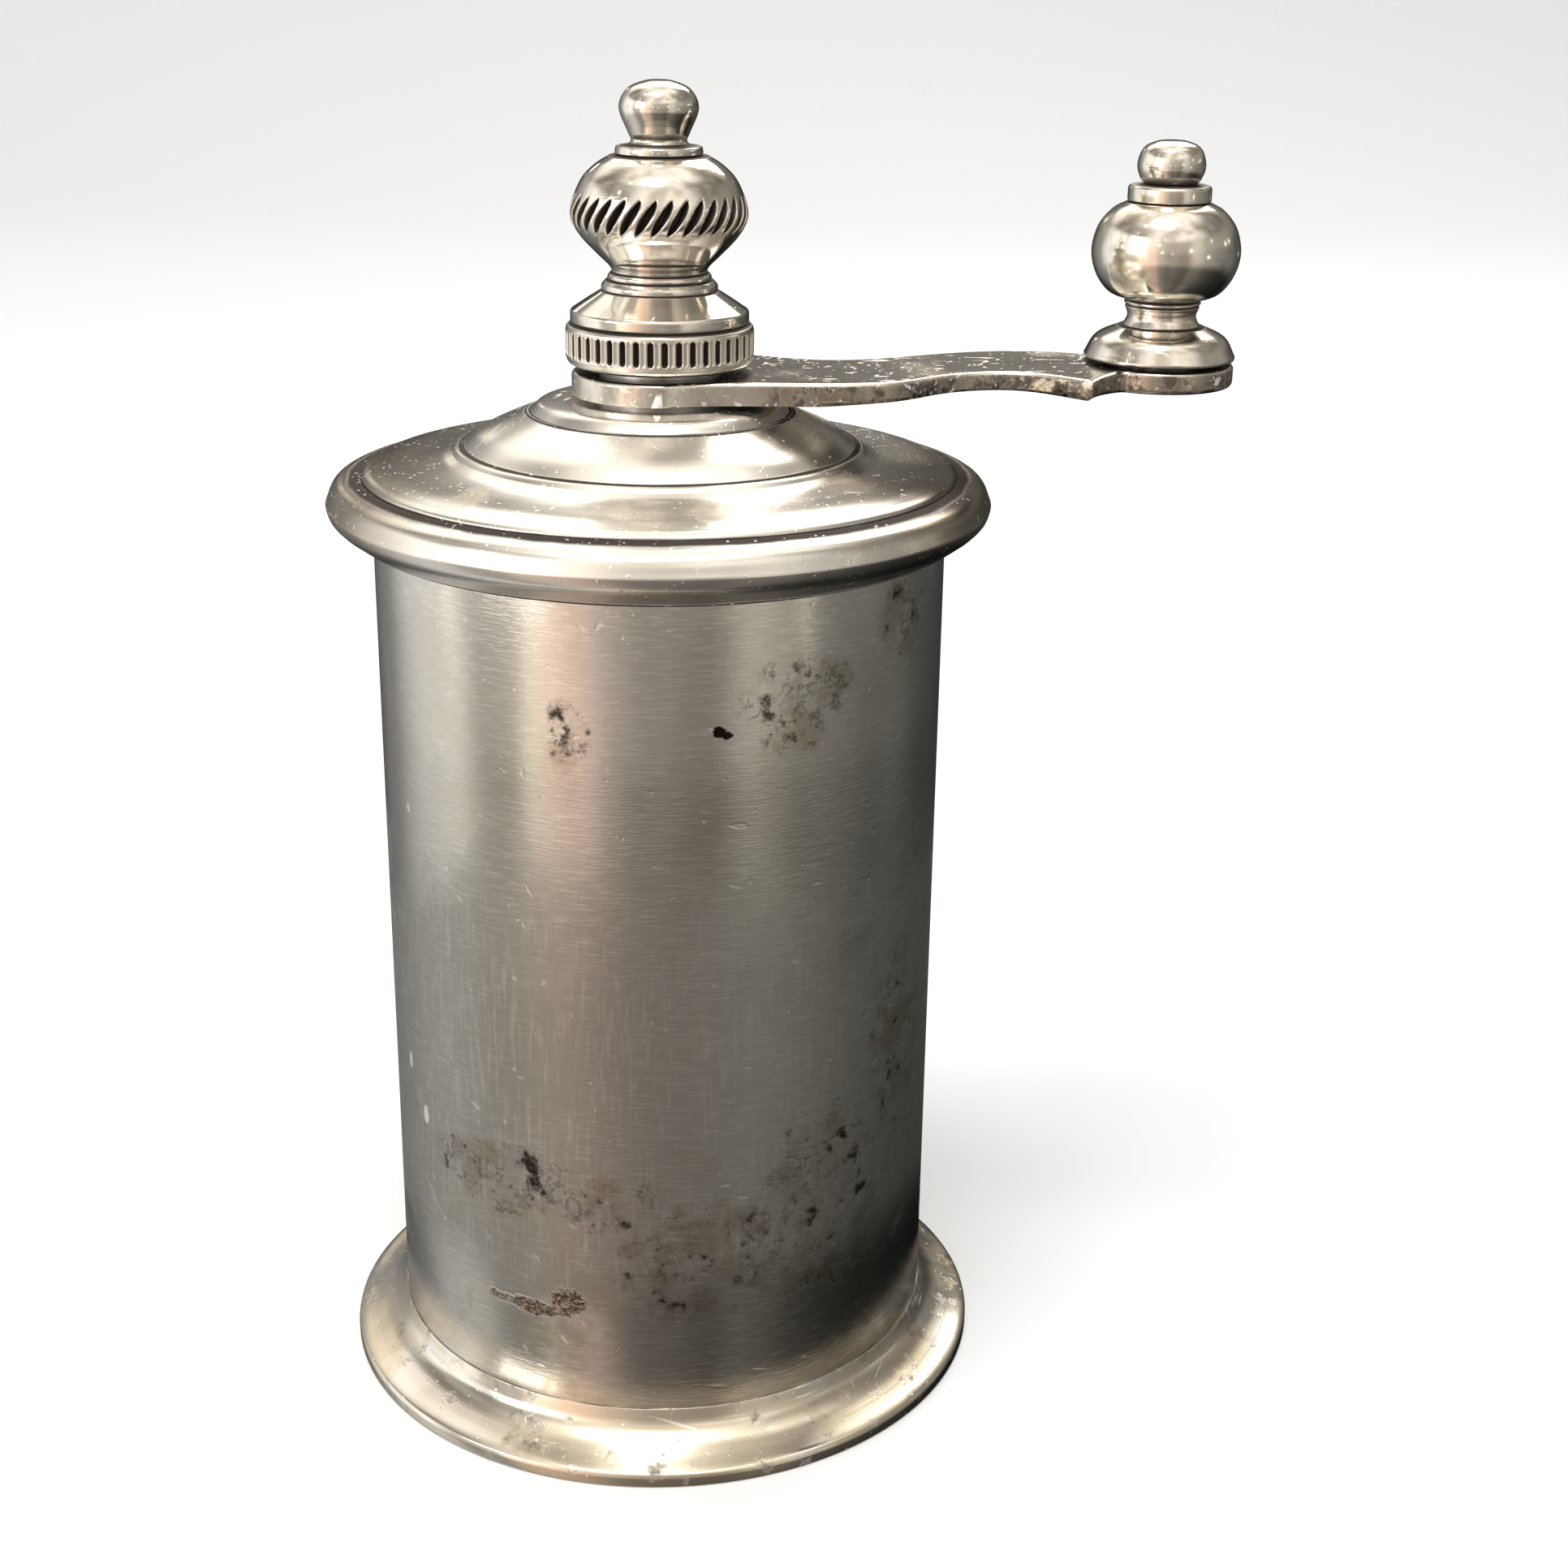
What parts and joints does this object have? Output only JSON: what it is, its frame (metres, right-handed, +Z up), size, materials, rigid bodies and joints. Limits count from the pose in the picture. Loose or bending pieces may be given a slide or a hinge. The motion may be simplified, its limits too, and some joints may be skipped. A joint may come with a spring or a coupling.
{
  "type": "crank pepper mill",
  "caption": "Round table pepper mill: plain metal barrel on a flared foot, stepped lid, S-shaped side crank with a turning knob, knurled setting ring and ball finial over a steel burr mill.",
  "frame": {"origin": "centre of the foot's resting face, on the shaft's axis", "axes": "+Z up along the shaft, +X along the crank arm from the shaft to the knob at rest"},
  "size_m": [0.0781, 0.0574, 0.112],
  "materials": {
    "barrel_silver": "satin silver plate, tarnished",
    "silver": "polished silver plate, worn",
    "steel": "machined steel",
    "burr_steel": "hardened dark steel",
    "spring_steel": "spring steel",
    "brass": "machined brass"
  },
  "bodies": {
    "mill": {"body_tube": "barrel_silver", "foot_ring": "silver", "seat_ring": "brass", "mechanism_plate": "steel", "plate_screws": "steel", "grinding_ring": "burr_steel", "bearing_bridge": "steel", "bridge_screws": "steel", "spring": "spring_steel"},
    "thrust": {"thrust_washer": "steel"},
    "shaft": {"drive_shaft": "steel", "grinding_head": "burr_steel", "head_washer": "steel", "head_screw": "steel"},
    "lid": {"lid": "silver", "lid_collar": "silver", "lid_bush": "brass", "hub_washer": "steel"},
    "crank": {"crank_arm": "silver", "knob_spindle": "silver", "knob_washer": "steel", "ring_washer": "steel"},
    "knob": {"knob": "silver"},
    "ring": {"adjusting_ring": "silver"},
    "lock": {"lock_washer": "steel"},
    "finial": {"finial_nut": "silver", "finial_tip": "silver"}
  },
  "joints": [
    {"name": "lid_lift", "type": "slide", "parent": "mill", "child": "lid", "axis": [0, 0, 1], "range_m": [0, 0.035]},
    {"name": "crank_spin", "type": "hinge", "parent": "lid", "child": "crank", "pos_m": [0, 0, 0.0881], "axis": [0, 0, -1], "continuous": true},
    {"name": "knob_spin", "type": "hinge", "parent": "crank", "child": "knob", "pos_m": [0.043, 0, 0.096], "axis": [0, 0, -1], "continuous": true},
    {"name": "ring_turn", "type": "hinge", "parent": "crank", "child": "ring", "pos_m": [0, 0, 0.0913], "axis": [0, 0, -1], "range_deg": [0, 540]},
    {"name": "finial_rise", "type": "slide", "parent": "crank", "child": "lock", "axis": [0, 0, 1], "range_m": [0, 0.007]},
    {"name": "finial_turn", "type": "hinge", "parent": "lock", "child": "finial", "pos_m": [0, 0, 0.1], "axis": [0, 0, 1], "range_deg": [0, 3600]},
    {"name": "grind_set", "type": "slide", "parent": "mill", "child": "thrust", "axis": [0, 0, 1], "range_m": [0, 0.00105], "deforming": ["spring"]},
    {"name": "shaft_spin", "type": "hinge", "parent": "thrust", "child": "shaft", "pos_m": [0, 0, 0.0142], "axis": [0, 0, -1], "continuous": true}
  ],
  "couplings": [
    {"joint": "shaft_spin", "follows": "crank_spin", "ratio": 1},
    {"joint": "ring_turn", "follows": "grind_set", "rad_per_m": 8976},
    {"joint": "finial_turn", "follows": "finial_rise", "rad_per_m": 8976}
  ]
}
